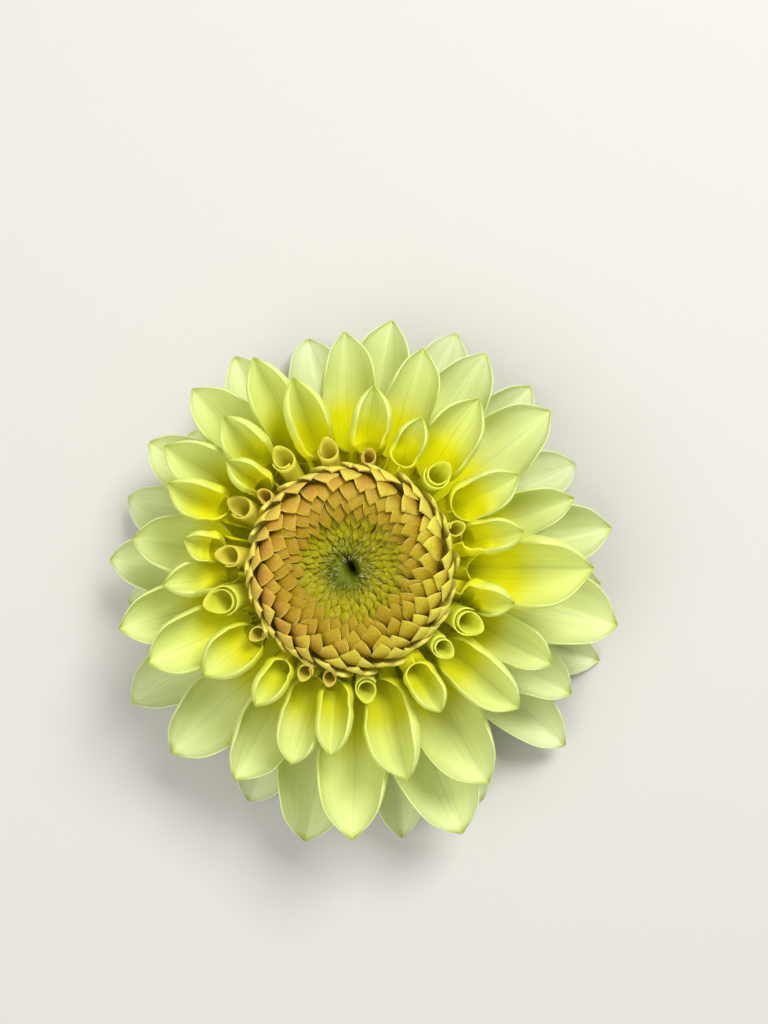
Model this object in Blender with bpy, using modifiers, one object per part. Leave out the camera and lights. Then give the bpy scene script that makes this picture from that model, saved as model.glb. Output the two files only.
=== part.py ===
"""A fully double dahlia head, picked with a short stub of stem and lying on its back.

Lengths are in metres and +Z is up. The head's axis is vertical. A bearing is in degrees, clockwise
seen from above, from +Y. Petals grow from the round shoulder of the receptacle in rows. Row 0 is the
oldest and lowest. Each younger row starts higher on the shoulder, points further up and is shorter.
"""

import math

import bmesh
import bpy
import numpy as np

MM = 0.001
SEAT_GAP = 0.3 * MM
SEAM_MERGE = 0.01 * MM

# The receptacle: a turned dome on the stub of stem.
STEM_RADIUS = 3.4 * MM
STEM_BOTTOM_Z = 1.0 * MM
UNDERSIDE_Z = 6.7 * MM
DOME_FLAT_RADIUS = 6.5 * MM
SHOULDER_Z = 10.5 * MM
SHOULDER_WIDTH = 6.5 * MM
SHOULDER_HEIGHT = 8.5 * MM
SHOULDER_LOWEST_DEG = -6.0
SHOULDER_POINTS = 9
UNDERSIDE_POINTS = 5
TURN_STEPS = 28

# Shape shared by every petal and bract: how stiffly the midrib leaves its ends, how soon it swells.
MIDRIB_HANDLE = 0.4
SWELL_POWER = 1.6

# How a petal of each row runs, from the lowest row to the innermost. Values between are mixed.
ROW_NAMES = ("lowest", "lower", "middle", "upper", "inner")
ROW_LAUNCH_DEG = (-6.0, 14.0, 31.0, 46.0, 60.0)
ROW_TIP_Z = (1.2 * MM, 14.0 * MM, 26.0 * MM, 34.0 * MM, 38.5 * MM)
ROW_ARRIVE_DEG = (-18.0, -6.0, 4.0, 8.0, 20.0)
ROW_CUP_DEG = (50.0, 55.0, 60.0, 66.0, 75.0)
ROW_WIDEST_AT = (0.58, 0.58, 0.62, 0.66, 0.7)
ALTERNATE_LIFT = 0.38
PETAL_THICKNESS = 0.5 * MM
CLAW_HALF_WIDTH = 1.5 * MM
CLAW_CUP_DEG = 70.0
TIP_HALF_WIDTH = 0.4 * MM
TIP_CUP_DEG = 30.0
PETAL_CELLS = (7, 4)

# Each petal as grown: (bearing in degrees, reach from the axis in mm, width in mm).
PETAL_ROWS = (
    (
        (24, 56, 15), (45, 55, 15), (66, 54, 15), (95, 54.5, 11.5), (112, 59, 14.5), (131, 61.5, 14),
        (152, 60.5, 14), (170, 61.5, 14), (204, 58.5, 15), (238, 58, 16), (260, 51.5, 13),
        (286, 52, 15), (348, 51, 15),
    ),
    (
        (9, 52.5, 14), (32, 53.5, 14.5), (52, 53, 15.5), (82, 56, 16), (103, 57.5, 16), (121, 54.5, 13),
        (158, 61.5, 18), (190, 60.5, 18), (224, 55.5, 16.5), (271, 52.5, 14.5), (301, 50.5, 14),
        (330, 51.5, 14),
    ),
    (
        (358, 48.5, 12.5), (18, 47, 11.5), (73, 48, 11), (116, 45.5, 11), (148, 53, 16), (180, 56, 16),
        (209, 50.5, 14), (255, 49.5, 12.5), (277, 46, 12.5), (318, 49, 13),
    ),
    (
        (37, 42.5, 11), (61, 38.5, 9.5), (90, 48.5, 13.5), (130, 44, 11), (165, 44, 12),
        (197, 41.5, 10), (245, 45, 11.5), (303, 45, 12), (335, 46.5, 10),
    ),
    (
        (7, 35, 8), (78, 35, 7), (186, 37.5, 8), (234, 36, 10.5), (265, 37.5, 7.5), (296, 40, 8.5),
        (320, 39.5, 7.5), (343, 39, 7.5),
    ),
)

# The closed florets stand packed in one ring: radius and height of its outline, top to bottom.
CROWN_OUTLINE = (
    (0.0, 35.5), (4.5, 36.5), (8.5, 40.0), (12.0, 42.6), (15.2, 43.5), (18.5, 42.2), (21.0, 38.6),
    (20.3, 35.5), (13.5, 28.0), (6.0, 19.4), (0.0, 19.4),
)

# Inner bracts: eight thin scales grown together into one lobed cup under the petals.
CUP_LOBES = 8
CUP_CELLS = (4, 3)
CUP_INNER_RADIUS = STEM_RADIUS + SEAT_GAP
CUP_NOTCH_RADIUS = 13.5 * MM
CUP_LOBE_RADIUS = 18.0 * MM
CUP_LOW_Z = 5.9 * MM
CUP_HIGH_Z = 8.0 * MM
CUP_LEVEL_RADIUS = 15.0 * MM
CUP_LOBE_POWER = 1.5
CUP_THICKNESS = 0.4 * MM

# Outer bracts: five green leaf-like bracts, bent back towards the stem.
BRACT_COUNT = 5
BRACT_FIRST_BEARING = 20.0
BRACT_START = (STEM_RADIUS + SEAT_GAP, 4.8 * MM)
BRACT_TIP = (20.0 * MM, 2.2 * MM)
BRACT_LAUNCH_DEG = 8.0
BRACT_ARRIVE_DEG = -22.0
BRACT_FOOT_HALF_WIDTH = 1.95 * MM
BRACT_HALF_WIDTH = 3.25 * MM
BRACT_WIDEST_AT = 0.6
BRACT_CUP_DEG = 12.0
BRACT_THICKNESS = 0.6 * MM
BRACT_CELLS = (6, 2)

COLOURS = {
    "petal": (0.62, 0.70, 0.16),
    "closed_floret": (0.60, 0.42, 0.10),
    "outer_bract": (0.16, 0.30, 0.06),
    "inner_bract": (0.42, 0.46, 0.18),
    "stem": (0.20, 0.33, 0.08),
}


def clear_scene():
    for item in list(bpy.data.objects):
        bpy.data.objects.remove(item)


def plant_material(name):
    """A matt Principled surface in the tissue's own colour."""
    material = bpy.data.materials.new(name)
    material.use_nodes = True
    shader = material.node_tree.nodes["Principled BSDF"]
    shader.inputs["Base Color"].default_value = (*COLOURS[name], 1.0)
    shader.inputs["Roughness"].default_value = 0.55
    shader.inputs["Metallic"].default_value = 0.0
    return material


def new_part(name, bm, head, collection, material):
    """Turns a bmesh into a named, smooth-shaded part that hangs on the head's empty."""
    mesh = bpy.data.meshes.new(name)
    bm.to_mesh(mesh)
    bm.free()
    mesh.materials.append(material)
    mesh.shade_smooth()
    part = bpy.data.objects.new(name, mesh)
    part.parent = head
    collection.objects.link(part)
    return part


def thicken(part, thickness):
    """Gives an open sheet its wall, on the side away from its normals."""
    wall = part.modifiers.new("wall", "SOLIDIFY")
    wall.thickness = thickness
    wall.offset = -1.0


def turned_part(name, outline, head, collection, material):
    """Turns an outline, given from the top down its outer side, about the head's axis."""
    bm = bmesh.new()
    points = [bm.verts.new((radius, 0.0, height)) for radius, height in outline]
    for upper, lower in zip(points, points[1:]):
        bm.edges.new((upper, lower))
    part = new_part(name, bm, head, collection, material)
    turn = part.modifiers.new("turn", "SCREW")
    turn.steps = TURN_STEPS
    turn.render_steps = TURN_STEPS
    turn.use_merge_vertices = True
    turn.merge_threshold = SEAM_MERGE
    return part


def shoulder_point(angle_deg, clearance=0.0):
    """Radius and height on the receptacle's shoulder where its surface faces angle_deg upwards."""
    angle = math.radians(angle_deg)
    radius = DOME_FLAT_RADIUS + SHOULDER_WIDTH * math.cos(angle) + clearance * math.cos(angle)
    height = SHOULDER_Z + SHOULDER_HEIGHT * math.sin(angle) + clearance * math.sin(angle)
    return radius, height


def receptacle_outline():
    """Flat top, elliptical shoulder, elliptical underside and the stub of stem."""
    outline = [(0.0, SHOULDER_Z + SHOULDER_HEIGHT)]
    for angle in np.linspace(90.0, SHOULDER_LOWEST_DEG, SHOULDER_POINTS):
        outline.append(shoulder_point(angle))
    rim_radius, rim_z = outline[-1]
    for angle in np.radians(np.linspace(0.0, 90.0, UNDERSIDE_POINTS + 1)[1:]):
        radius = STEM_RADIUS + (rim_radius - STEM_RADIUS) * math.cos(angle)
        outline.append((radius, rim_z - (rim_z - UNDERSIDE_Z) * math.sin(angle)))
    outline.append((STEM_RADIUS, STEM_BOTTOM_Z))
    outline.append((0.0, STEM_BOTTOM_Z))
    return outline


def midrib(start, launch_deg, tip, arrive_deg, u):
    """Bezier curve in (radius, height) and its unit direction, at each u from claw 0 to tip 1."""
    start, tip = np.array(start), np.array(tip)
    handle = MIDRIB_HANDLE * np.linalg.norm(tip - start)
    launch, arrive = math.radians(launch_deg), math.radians(arrive_deg)
    second = start + handle * np.array((math.cos(launch), math.sin(launch)))
    third = tip - handle * np.array((math.cos(arrive), math.sin(arrive)))
    t = u[..., None]
    point = (1 - t) ** 3 * start + 3 * (1 - t) ** 2 * t * second
    point = point + 3 * (1 - t) * t**2 * third + t**3 * tip
    slope = (1 - t) ** 2 * (second - start) + 2 * (1 - t) * t * (third - second)
    slope = slope + t**2 * (tip - third)
    return point, slope / np.linalg.norm(slope, axis=-1, keepdims=True)


def blade_half_width(u, claw, widest, tip, widest_at):
    """Half of the unrolled width: a smooth swell up to u = widest_at, then two arcs to a point."""
    swell = np.clip(u / widest_at, 0.0, 1.0)
    swell = 1.0 - (1.0 - swell) ** SWELL_POWER
    taper = np.clip((u - widest_at) / (1.0 - widest_at), 0.0, 1.0) ** 2
    return (claw + (widest - claw) * swell) * (1.0 - taper) + tip * taper


def rolled_leaf(bearing_deg, path, half_width, cup, cells):
    """A grid bent along a midrib and rolled up to each side of it by the angle that cup gives.

    path, half_width and cup are functions of u. Across the leaf, v runs from -1 to 1, and the
    section at u is a circular arc of unrolled half width half_width(u) and half angle cup(u).
    """
    bm = bmesh.new()
    bmesh.ops.create_grid(bm, x_segments=cells[0], y_segments=cells[1], size=0.5)
    flat = np.array([vert.co for vert in bm.verts])
    u, v = flat[:, 0] + 0.5, 2.0 * flat[:, 1]
    point, direction = path(u)
    inward = np.stack((-direction[:, 1], direction[:, 0]), axis=1)
    radius = half_width(u) / cup(u)
    rise = (radius * (1.0 - np.cos(cup(u) * v)))[:, None]
    aside = radius * np.sin(cup(u) * v)
    section = point + inward * rise
    bearing = math.radians(bearing_deg)
    x = section[:, 0] * math.sin(bearing) - aside * math.cos(bearing)
    y = section[:, 0] * math.cos(bearing) + aside * math.sin(bearing)
    for vert, place in zip(bm.verts, np.stack((x, y, section[:, 1]), axis=1)):
        vert.co = place
    return bm


def petal(name, row, bearing, reach, width, head, collection, material):
    """One ray floret: a narrow channelled claw that opens into a cupped, pointed blade."""
    rows = range(len(ROW_NAMES))
    launch = np.interp(row, rows, ROW_LAUNCH_DEG)
    tip = (reach, np.interp(row, rows, ROW_TIP_Z))
    arrive = np.interp(row, rows, ROW_ARRIVE_DEG)
    blade_cup = math.radians(np.interp(row, rows, ROW_CUP_DEG))
    widest_at = np.interp(row, rows, ROW_WIDEST_AT)
    widest = 0.5 * width * blade_cup / math.sin(blade_cup)
    start = shoulder_point(launch, SEAT_GAP)

    def path(u):
        return midrib(start, launch, tip, arrive, u)

    def half_width(u):
        return blade_half_width(u, CLAW_HALF_WIDTH, widest, TIP_HALF_WIDTH, widest_at)

    def cup(u):
        stations = (0.0, widest_at, 1.0)
        angles = (math.radians(CLAW_CUP_DEG), blade_cup, math.radians(TIP_CUP_DEG))
        return np.interp(u, stations, angles)

    bm = rolled_leaf(bearing, path, half_width, cup, PETAL_CELLS)
    part = new_part(name, bm, head, collection, material)
    thicken(part, PETAL_THICKNESS)


def petals(head, collection):
    """All petals, row by row. Every second one in a row lies a little higher than its neighbours."""
    material = plant_material("petal")
    for row, members in enumerate(PETAL_ROWS):
        for place, (bearing, reach, width) in enumerate(members):
            name = f"{ROW_NAMES[row]}_petal_{place + 1:02d}"
            lifted_row = row + ALTERNATE_LIFT * ((place + row) % 2)
            petal(name, lifted_row, bearing, reach * MM, width * MM, head, collection, material)


def outer_bracts(head, collection):
    """Five thick green bracts, evenly spaced round the top of the stem."""
    material = plant_material("outer_bract")

    def path(u):
        return midrib(BRACT_START, BRACT_LAUNCH_DEG, BRACT_TIP, BRACT_ARRIVE_DEG, u)

    def half_width(u):
        return blade_half_width(
            u, BRACT_FOOT_HALF_WIDTH, BRACT_HALF_WIDTH, TIP_HALF_WIDTH, BRACT_WIDEST_AT
        )

    def cup(u):
        return np.full_like(u, math.radians(BRACT_CUP_DEG))

    for place in range(BRACT_COUNT):
        bearing = BRACT_FIRST_BEARING + 360.0 * place / BRACT_COUNT
        bm = rolled_leaf(bearing, path, half_width, cup, BRACT_CELLS)
        part = new_part(f"outer_bract_{place + 1}", bm, head, collection, material)
        thicken(part, BRACT_THICKNESS)


def inner_bract_cup(head, collection):
    """A ring of eight pointed lobes that follows the receptacle's underside."""
    around = CUP_LOBES * CUP_CELLS[0]
    bm = bmesh.new()
    bmesh.ops.create_grid(bm, x_segments=around, y_segments=CUP_CELLS[1], size=0.5)
    for vert in bm.verts:
        angle = 2.0 * math.pi * vert.co.x
        across_lobe = 2.0 * ((CUP_LOBES * (vert.co.x + 0.5)) % 1.0) - 1.0
        lobe = 1.0 - abs(across_lobe) ** CUP_LOBE_POWER
        edge = CUP_NOTCH_RADIUS + (CUP_LOBE_RADIUS - CUP_NOTCH_RADIUS) * lobe
        radius = CUP_INNER_RADIUS + (edge - CUP_INNER_RADIUS) * (vert.co.y + 0.5)
        outward = min((radius - CUP_INNER_RADIUS) / (CUP_LEVEL_RADIUS - CUP_INNER_RADIUS), 1.0)
        rise = outward * outward * (3.0 - 2.0 * outward)
        height = CUP_LOW_Z + (CUP_HIGH_Z - CUP_LOW_Z) * rise
        vert.co = (radius * math.sin(angle), radius * math.cos(angle), height)
    bmesh.ops.remove_doubles(bm, verts=bm.verts, dist=SEAM_MERGE)
    part = new_part("inner_bract_cup", bm, head, collection, plant_material("inner_bract"))
    thicken(part, CUP_THICKNESS)


def rest_on_the_ground(head, collection):
    """Moves the head so that its box stands on z = 0, centred on the origin."""
    bpy.context.view_layer.update()
    depsgraph = bpy.context.evaluated_depsgraph_get()
    corners = []
    for part in collection.objects:
        if part.type == "MESH":
            finished = part.evaluated_get(depsgraph)
            mesh = finished.to_mesh()
            places = np.array([finished.matrix_world @ vert.co for vert in mesh.vertices])
            corners += [places.min(axis=0), places.max(axis=0)]
            finished.to_mesh_clear()
    low, high = np.min(corners, axis=0), np.max(corners, axis=0)
    head.location = (-0.5 * (low[0] + high[0]), -0.5 * (low[1] + high[1]), -low[2])


def main():
    clear_scene()
    collection = bpy.data.collections.new("dahlia_head")
    bpy.context.scene.collection.children.link(collection)
    head = bpy.data.objects.new("head", None)
    collection.objects.link(head)
    stem = plant_material("stem")
    turned_part("receptacle_and_stem", receptacle_outline(), head, collection, stem)
    crown = [(radius * MM, height * MM) for radius, height in CROWN_OUTLINE]
    closed_floret = plant_material("closed_floret")
    turned_part("closed_floret_crown", crown, head, collection, closed_floret)
    inner_bract_cup(head, collection)
    outer_bracts(head, collection)
    petals(head, collection)
    rest_on_the_ground(head, collection)


main()
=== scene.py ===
# A double dahlia head, picked with a short stub of stem and lying on its back.
# Shapes below are in millimetres from the flower's axis. A bearing is in degrees, clockwise from +Y
# seen from above, and a pitch is in degrees above the horizon.

import math

import bpy
import numpy as np
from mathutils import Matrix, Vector


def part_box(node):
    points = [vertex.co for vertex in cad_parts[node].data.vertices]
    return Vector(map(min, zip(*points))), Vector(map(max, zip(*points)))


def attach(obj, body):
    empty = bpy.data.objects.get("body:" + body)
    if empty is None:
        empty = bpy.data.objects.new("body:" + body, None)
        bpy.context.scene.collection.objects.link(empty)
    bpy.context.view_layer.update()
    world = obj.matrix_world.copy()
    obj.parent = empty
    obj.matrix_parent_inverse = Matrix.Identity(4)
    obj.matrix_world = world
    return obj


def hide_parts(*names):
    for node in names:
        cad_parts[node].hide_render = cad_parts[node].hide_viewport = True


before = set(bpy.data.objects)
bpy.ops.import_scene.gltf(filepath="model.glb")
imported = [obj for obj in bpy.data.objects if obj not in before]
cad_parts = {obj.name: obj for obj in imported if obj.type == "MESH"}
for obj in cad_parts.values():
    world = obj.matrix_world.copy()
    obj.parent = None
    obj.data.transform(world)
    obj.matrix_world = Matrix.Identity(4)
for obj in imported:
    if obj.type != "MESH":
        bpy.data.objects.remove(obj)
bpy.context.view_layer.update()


# Receptacle and stem. The fleshy green dome that every floret sits on grew in one piece with the
# stem. Only a stub of stem is left, with eight soft ribs, and its cut end shows the pale pith.

MM = 0.001
STEM_LOW, STEM_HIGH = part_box("receptacle_and_stem")
DOME_TOP = 19.0
STEM_RIBS, RIB_DEPTH = 8, 0.03
RIB_FOOT, RIB_TOP = 1.0, 7.0
# The flower's own zero, in metres: on its axis, DOME_TOP below the dome's top.
SEAT = np.array(
    (
        0.5 * (STEM_LOW.x + STEM_HIGH.x),
        0.5 * (STEM_LOW.y + STEM_HIGH.y),
        STEM_HIGH.z - DOME_TOP * MM,
    )
)
STEM_TURN = np.array(
    (
        (0.05, 1.1), (1.1, 1.1), (2.2, 1.05), (3.25, 1.0), (3.4, 1.3), (3.4, 2.6), (3.45, 4.6),
        (3.7, 5.8), (4.4, 6.5), (6.2, 6.75), (9.0, 7.2), (11.4, 8.2), (12.6, 9.4), (13.0, 10.6),
        (12.6, 13.4), (11.2, 16.4), (9.0, 18.3), (6.5, 18.95), (4.0, 19.0), (0.05, 19.0),
    )
)
PITH_TURN = np.array(((0.05, 1.0), (2.0, 0.98), (2.2, 1.05), (2.2, 1.3), (0.05, 1.3)))


def linear(hex_colour):
    """A hex sRGB colour as linear RGBA, by the standard's own curve."""
    channels = np.array([int(hex_colour[i : i + 2], 16) for i in (1, 3, 5)]) / 255.0
    channels = np.where(channels < 0.04045, channels / 12.92, ((channels + 0.055) / 1.055) ** 2.4)
    return (*channels.tolist(), 1.0)


def node(tree, kind, inputs, **settings):
    """Adds one shader node. An input is another node's output to link, or a value to set.

    MapRange reads the range between its inputs 1 and 2 and gives the range between 3 and 4.
    A colour Mix goes from its input 6 to its input 7 as input 0 goes from 0 to 1.
    """
    made = tree.nodes.new("ShaderNode" + kind)
    for key, value in settings.items():
        setattr(made, key, value)
    for key, value in inputs.items():
        if isinstance(value, bpy.types.NodeSocket):
            tree.links.new(value, made.inputs[key])
        else:
            made.inputs[key].default_value = value
    return made


def ease(x):
    """A smooth step from 0 to 1: three x squared less two x cubed, held flat outside 0 to 1."""
    x = np.clip(x, 0.0, 1.0)
    return x * x * (3.0 - 2.0 * x)


def grown(name, points, slot, material, wrap=False, caps=False, wall=0.0, sharp=None, **marks):
    """A piece made of grids of points shaped (copies, along, across, 3), in mm from the axis.

    Every square of a grid becomes a face. With wrap, the last column joins the first, and with
    caps a flat face closes each end. With wall, the sheet gets that thickness on the side away
    from its normals. Each mark is one number for each point, which the material reads by name.
    """
    copies, along, across = points.shape[:3]
    index = np.arange(copies * along * across).reshape(copies, along, across)
    if wrap:
        index = np.concatenate((index, index[:, :, :1]), axis=2)
    squares = (index[:, :-1, :-1], index[:, 1:, :-1], index[:, 1:, 1:], index[:, :-1, 1:])
    faces = np.stack(squares, axis=-1).reshape(-1, 4).tolist()
    if caps:
        faces += index[:, 0, :-1].tolist()
        faces += index[:, -1, -2::-1].tolist()
    mesh = bpy.data.meshes.new(name)
    mesh.from_pydata((points.reshape(-1, 3) * MM + SEAT).tolist(), [], faces)
    mesh.shade_smooth()
    if sharp is not None:
        mesh.set_sharp_from_angle(angle=math.radians(sharp))
    for mark, values in marks.items():
        numbers = np.broadcast_to(values, points.shape[:3]).astype(np.float32).reshape(-1)
        mesh.attributes.new(mark, "FLOAT", "POINT").data.foreach_set("value", numbers)
    mesh.materials.append(material)
    piece = bpy.data.objects.new(name, mesh)
    bpy.context.scene.collection.objects.link(piece)
    if wall:
        solid = piece.modifiers.new("wall", "SOLIDIFY")
        solid.thickness = wall * MM
        solid.offset = -1.0
    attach(piece, "root")
    return piece


def turned(profile, steps):
    """Carries a (radius, height) profile round the axis: x = r sin b, y = r cos b, bearings b."""
    bearing = np.radians(np.linspace(0.0, 360.0, steps, endpoint=False))
    radius, height = profile[:, :1], profile[:, 1:]
    x, y = radius * np.sin(bearing), radius * np.cos(bearing)
    return np.stack((x, y, np.broadcast_to(height, x.shape)), axis=-1)


def green_skin(name, deep, light, streak_mm, roughness):
    """Waxy leaf or stem epidermis: streaks streak_mm apart between two greens, with a soft bump."""
    material = bpy.data.materials.new(name)
    material.use_nodes = True
    tree = material.node_tree
    shader = tree.nodes["Principled BSDF"]
    place = node(tree, "TexCoord", {}).outputs["Object"]
    grain = node(
        tree, "TexNoise", {"Vector": place, "Scale": 1.0 / (streak_mm * MM), "Detail": 3.0}
    )
    greens = node(
        tree, "Mix", {0: grain.outputs[0], 6: linear(deep), 7: linear(light)}, data_type="RGBA"
    )
    bump = node(tree, "Bump", {"Strength": 0.4, "Distance": 0.1 * MM, "Height": grain.outputs[0]})
    tree.links.new(greens.outputs[2], shader.inputs["Base Color"])
    tree.links.new(bump.outputs[0], shader.inputs["Normal"])
    shader.inputs["Roughness"].default_value = roughness
    shader.inputs["Specular IOR Level"].default_value = 0.35
    return material


stem = turned(STEM_TURN, 64)
rib_angle = np.arctan2(stem[..., 0], stem[..., 1])
ribbed = ease((RIB_TOP - stem[..., 2]) / 2.0) * ease((stem[..., 2] - RIB_FOOT) / 0.4)
stem[..., :2] *= (1.0 + RIB_DEPTH * ribbed * np.cos(STEM_RIBS * rib_angle))[..., None]
stem_skin = green_skin("waxy_stem_skin", "#5d7a2c", "#8aa34a", 1.2, 0.5)
piece = grown("receptacle_flesh", stem[None], "stem", stem_skin, wrap=True, caps=True, sharp=50)
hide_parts("receptacle_and_stem")
pith = turned(PITH_TURN, 48)
pith_skin = green_skin("cut_pith", "#c9cf94", "#e4e6bc", 0.4, 0.7)
grown("cut_pith", pith[None], "stem", pith_skin, wrap=True, caps=True, sharp=50)


# Inner bracts. Eight thin, papery, pale green scales, grown together at their base into one cup
# that lies against the lowest florets. Each lobe dips a little along its middle.

CUP_LOBES = 8
CUP_FOOT, CUP_NOTCH, CUP_LOBE = 3.8, 13.5, 18.2
CUP_LOW_Z, CUP_HIGH_Z = 5.9, 8.0
CUP_WALL, CUP_DIP = 0.35, 0.3

round_cup = np.linspace(0.0, 1.0, CUP_LOBES * 24, endpoint=False)[None, :]
outward = np.linspace(0.0, 1.0, 20)[:, None]
across_lobe = 2.0 * ((CUP_LOBES * round_cup) % 1.0) - 1.0
lobe = (1.0 - np.abs(across_lobe) ** 2.2) * (0.94 + 0.06 * np.cos(10.0 * np.pi * round_cup))
cup_r = CUP_FOOT + (CUP_NOTCH + (CUP_LOBE - CUP_NOTCH) * lobe - CUP_FOOT) * outward
cup_z = CUP_LOW_Z + (CUP_HIGH_Z - CUP_LOW_Z) * ease((cup_r - CUP_FOOT) / 11.0)
cup_z = cup_z - CUP_DIP * (1.0 - across_lobe**2) * ease((cup_r - 8.0) / 6.0)
cup_turn = 2.0 * np.pi * round_cup
cup = np.stack((cup_r * np.sin(cup_turn), cup_r * np.cos(cup_turn), cup_z), axis=-1)
papery = green_skin("papery_bract", "#9aa65a", "#c3c987", 0.8, 0.6)
cup = cup[None, ::-1]
piece = grown("inner_bract_scales", cup, "inner_bract", papery, wrap=True, wall=CUP_WALL)
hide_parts("inner_bract_cup")


# Crown of closed florets. Folded young florets stand packed in whorls of twenty-one and bend
# inwards over the crown like roof tiles. Each shows a flat back that ends in a blunt, lopsided
# point, with one edge lifted over its neighbour.

WHORL_COUNT = 21
CROWN_LINE = (
    # (radius, height) from beyond the heart, through its middle, over the crest and down outside
    (-6.0, 36.8), (-3.0, 35.5), (0.0, 35.2), (3.0, 35.5), (6.0, 36.8), (8.8, 38.9),
    (11.5, 40.9), (14.2, 41.9), (16.7, 41.9), (18.8, 41.0), (20.3, 39.2), (21.0, 36.4),
    (20.8, 30.0), (18.8, 23.5), (13.5, 18.4),
)
WHORL_TIPS = (22.8, 20.9, 19.1, 17.3, 15.6, 14.0, 12.5, 11.1)
TILE_ACROSS = np.array((-1.0, -0.86, -0.45, 0.0, 0.45, 0.86, 1.0, 0.6, 0.0, -0.6))
TILE_ALONG = np.array((0.0, 0.2, 0.38, 0.5, 0.62, 0.74, 0.86, 0.95, 1.0))
TILE_UNDER = np.array((0, 0, 0, 0, 0, 0, 0, 1, 1, 1))
TILE_COVER, TILE_LIFT, TILE_THICK = 0.86, 0.9, 0.5
TILE_SINK, TILE_ARCH = 0.42, 0.24
TILE_SEED = 600


def crown_place(distance):
    """Radius, height, and the way up and out, at a distance along the crown's rounded outline.

    The outline runs straight between its corners, and a moving mean rounds them. Its two ends,
    where the mean runs short, are left out. Distance nought is the third corner, in the heart.
    """
    corners = np.array(CROWN_LINE)
    run = np.concatenate(((0.0,), np.cumsum(np.hypot(*np.diff(corners, axis=0).T))))
    run = run - run[2]
    fine = np.linspace(run[0], run[-1], 600)
    mean = np.ones(41) / 41.0
    line = [np.convolve(np.interp(fine, run, corners[:, k]), mean, "same") for k in (0, 1)]
    whole = slice(42, -42)
    radius, height = (np.interp(distance, fine[whole], values[whole]) for values in line)
    slope = [np.interp(distance, fine[whole], np.gradient(values)[whole]) for values in line]
    size = np.hypot(*slope)
    return radius, height, -slope[1] / size, slope[0] / size


def tile_whorl(whorl, tip, length, cover, lift, thickness, rng):
    """One whorl of closed florets, as grids of points (copy, along, round, 3), with marks.

    s runs from the sunk base to the lifted tip along the crown's outline. The section is an
    arched back over a flat underside, tilted so that its left edge is up. The left edge bends in
    early and slowly, and the right edge late and fast, so that they meet left of the middle.
    """
    copy = np.arange(WHORL_COUNT)[:, None, None]
    s = TILE_ALONG[None, :, None]
    c = TILE_ACROSS[None, None, :]

    def vary(low, high):
        return rng.uniform(low, high, (WHORL_COUNT, 1, 1))

    distance = tip + vary(-0.55, 0.55) + length * vary(0.94, 1.08) * (1.0 - s)
    radius, height, up_r, up_z = crown_place(distance)
    turn = 2.0 * np.pi * (copy + 0.5 * (whorl % 2)) / WHORL_COUNT + vary(-0.045, 0.045)
    half = cover * np.pi * crown_place(tip + 0.45 * length)[0] / WHORL_COUNT * vary(0.9, 1.12)
    full = 0.84 + 0.16 * ease(s / 0.4)
    skew = vary(0.05, 0.45)
    left = full - (full - skew) * np.clip((s - 0.5) / 0.5, 0.0, 1.0) ** 1.9
    right = full - (full + skew) * np.clip((s - 0.66) / 0.34, 0.0, 1.0) ** 1.25
    aside = half * (0.5 * (right - left) + 0.5 * (right + left) * c)
    arch = TILE_ARCH * half * (1.0 - np.abs(c) ** 2.2) * (1.0 - 0.6 * s**3)
    rise = np.where(TILE_UNDER, -thickness, arch)
    tilt = vary(0.08, 0.34)
    rise = rise - aside * np.tan(tilt)
    sink = TILE_SINK * length
    above = -sink + (sink + lift + vary(-0.25, 0.4)) * s**0.75 + rise
    turn = turn + vary(-0.05, 0.05) * s
    r, z = radius + up_r * above, height + up_z * above
    x = r * np.sin(turn) + aside * np.cos(turn)
    y = r * np.cos(turn) - aside * np.sin(turn)
    marks = {
        "along": s,
        "edge": np.clip((np.abs(c) - 0.86) / 0.14, 0.0, 1.0),
        "margin": np.maximum(np.abs(c), ease((s - 0.6) / 0.4)),
        "tone": vary(0.0, 1.0),
        "inside": 1.0 - tip / WHORL_TIPS[0],
    }
    return np.stack(np.broadcast_arrays(x, y, z), axis=-1), marks


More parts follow.
